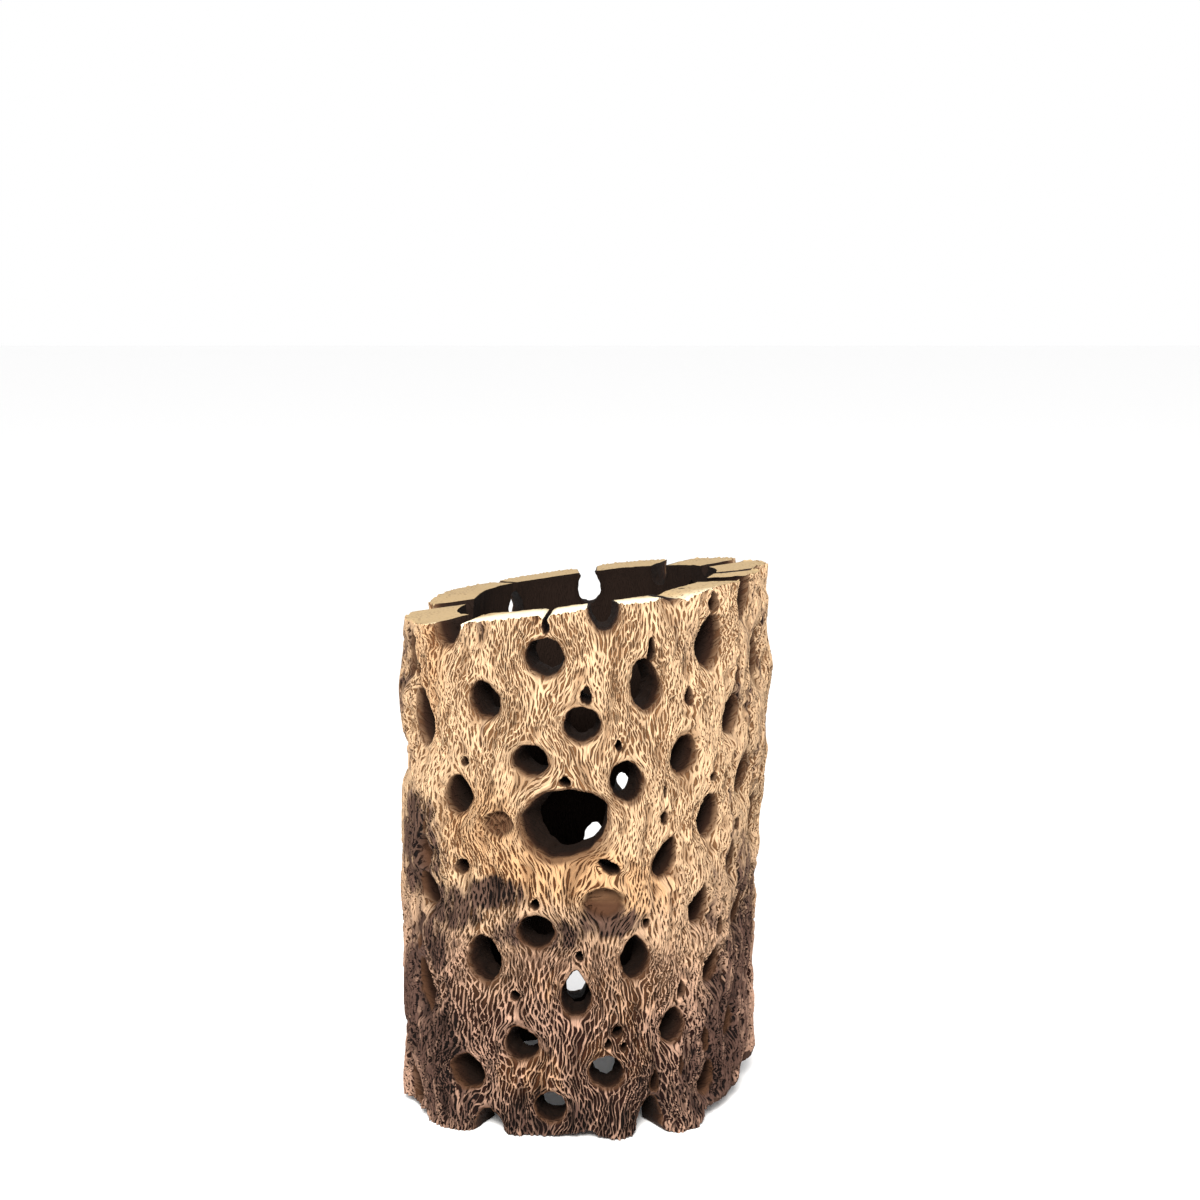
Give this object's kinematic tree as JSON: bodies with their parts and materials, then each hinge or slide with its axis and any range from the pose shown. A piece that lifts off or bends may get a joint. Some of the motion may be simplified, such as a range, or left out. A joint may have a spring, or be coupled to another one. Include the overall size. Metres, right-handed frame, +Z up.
{
  "type": "cholla cactus skeleton",
  "caption": "Sawn upright length of hollow cactus wood: a woody net wall pierced by rows of windows, open at both ends.",
  "frame": {"origin": "centre of the box round the piece, on the floor that it stands on", "axes": "+Z up the stem, -Y towards the side with the large branch scar, +X to that side's right"},
  "size_m": [0.0714, 0.0722, 0.1042],
  "materials": {
    "cholla_skeleton": "dry weathered wood, matt, cream strands over brown hollows"
  },
  "bodies": {
    "root": {"cholla_skeleton": "cholla_skeleton"}
  },
  "joints": []
}
